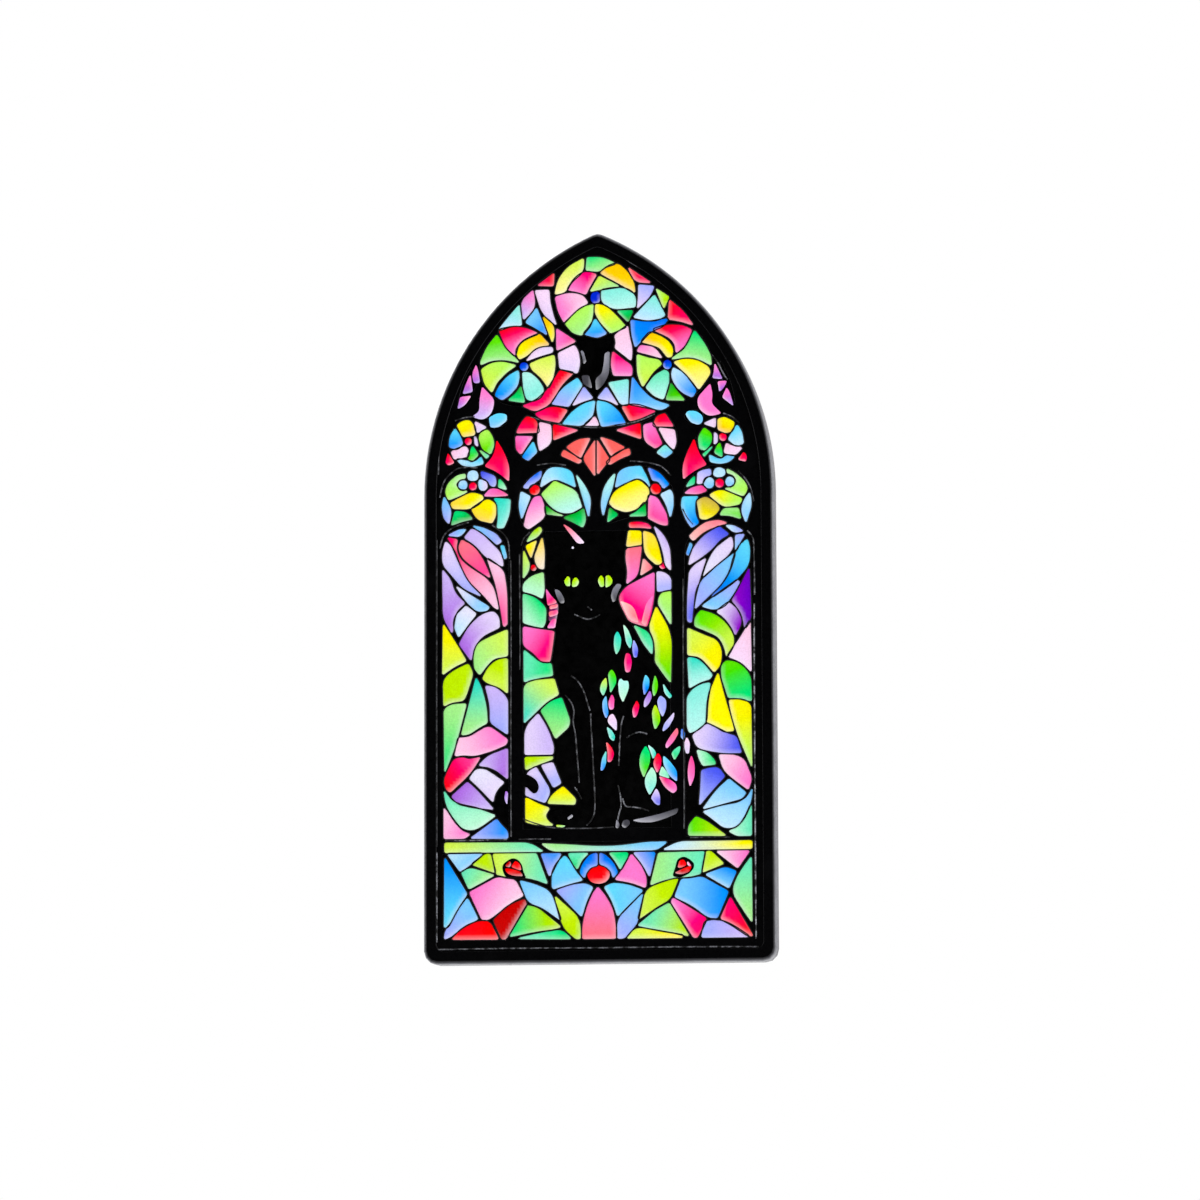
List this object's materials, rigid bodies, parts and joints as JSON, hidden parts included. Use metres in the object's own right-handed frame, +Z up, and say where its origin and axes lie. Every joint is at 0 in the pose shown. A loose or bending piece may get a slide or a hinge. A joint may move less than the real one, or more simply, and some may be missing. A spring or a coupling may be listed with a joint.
{
  "type": "enamel pin",
  "caption": "Enamel pin shaped as a Gothic stained-glass window with a sitting black cat, on posts with butterfly clutches.",
  "frame": {"origin": "centre of the plate's flat back face, half way up the 50 mm height", "axes": "+Z up the window as worn, +X to the viewer's right, -Y out of the front face, +Y along the posts"},
  "size_m": [0.024, 0.0102, 0.0499],
  "materials": {
    "black_plate": "black dyed electroplate on a polished zinc die casting",
    "nickel": "bright nickel plate",
    "black_enamel": "glossy black enamel",
    "rose_enamel": "glossy enamel with printed colour gradients",
    "green_enamel": "glossy enamel with printed colour gradients",
    "blue_enamel": "glossy enamel with printed colour gradients",
    "violet_enamel": "glossy enamel with printed colour gradients",
    "coral_enamel": "glossy enamel with printed colour gradients",
    "ruby_enamel": "glossy enamel"
  },
  "bodies": {
    "pin": {"cast_plate": "black_plate", "left_lancet_enamel": "violet_enamel", "left_foil_enamel": "green_enamel", "left_small_rose_enamel": "green_enamel", "left_red_spandrel_enamel": "ruby_enamel", "left_bud_enamel": "blue_enamel", "left_petal_enamel": "rose_enamel", "left_shards_enamel": "rose_enamel", "left_arch_spandrel_enamel": "rose_enamel", "left_lunette_enamel": "green_enamel", "right_lancet_enamel": "violet_enamel", "right_foil_enamel": "green_enamel", "right_small_rose_enamel": "green_enamel", "right_red_spandrel_enamel": "ruby_enamel", "right_bud_enamel": "blue_enamel", "right_petal_enamel": "rose_enamel", "right_shards_enamel": "rose_enamel", "right_arch_spandrel_enamel": "rose_enamel", "right_lunette_enamel": "green_enamel", "fan_enamel": "coral_enamel", "sill_enamel": "green_enamel", "base_panel_enamel": "blue_enamel", "base_jewel_enamel": "ruby_enamel", "tympanum_ground_enamel": "rose_enamel", "top_rose_enamel": "green_enamel", "left_rose_enamel": "green_enamel", "right_rose_enamel": "green_enamel", "keyhole_enamel": "black_enamel", "cat_enamel": "black_enamel", "centre_left_enamel": "green_enamel", "centre_right_enamel": "rose_enamel", "lower_post": "nickel", "upper_post": "nickel"},
    "lower_clutch": {"lower_clutch_cup": "nickel"},
    "lower_left_wing": {"lower_clutch_left_wing": "nickel"},
    "lower_right_wing": {"lower_clutch_right_wing": "nickel"},
    "upper_clutch": {"upper_clutch_cup": "nickel"},
    "upper_left_wing": {"upper_clutch_left_wing": "nickel"},
    "upper_right_wing": {"upper_clutch_right_wing": "nickel"}
  },
  "joints": [
    {"name": "lower_clutch_slide", "type": "slide", "parent": "pin", "child": "lower_clutch", "axis": [0, 1, 0], "range_m": [-0.0018, 0.008]},
    {"name": "lower_left_wing_hinge", "type": "hinge", "parent": "lower_clutch", "child": "lower_left_wing", "pos_m": [-0.00135, 0.00395, -0.012], "axis": [0, 0, -1], "range_deg": [0, 12], "stiffness_Nm_per_rad": 0.03},
    {"name": "lower_right_wing_hinge", "type": "hinge", "parent": "lower_clutch", "child": "lower_right_wing", "pos_m": [0.00135, 0.00395, -0.012], "axis": [0, 0, 1], "range_deg": [0, 12], "stiffness_Nm_per_rad": 0.03},
    {"name": "upper_clutch_slide", "type": "slide", "parent": "pin", "child": "upper_clutch", "axis": [0, 1, 0], "range_m": [-0.0018, 0.008]},
    {"name": "upper_left_wing_hinge", "type": "hinge", "parent": "upper_clutch", "child": "upper_left_wing", "pos_m": [-0.00135, 0.00395, 0.01], "axis": [0, 0, -1], "range_deg": [0, 12], "stiffness_Nm_per_rad": 0.03},
    {"name": "upper_right_wing_hinge", "type": "hinge", "parent": "upper_clutch", "child": "upper_right_wing", "pos_m": [0.00135, 0.00395, 0.01], "axis": [0, 0, 1], "range_deg": [0, 12], "stiffness_Nm_per_rad": 0.03}
  ]
}
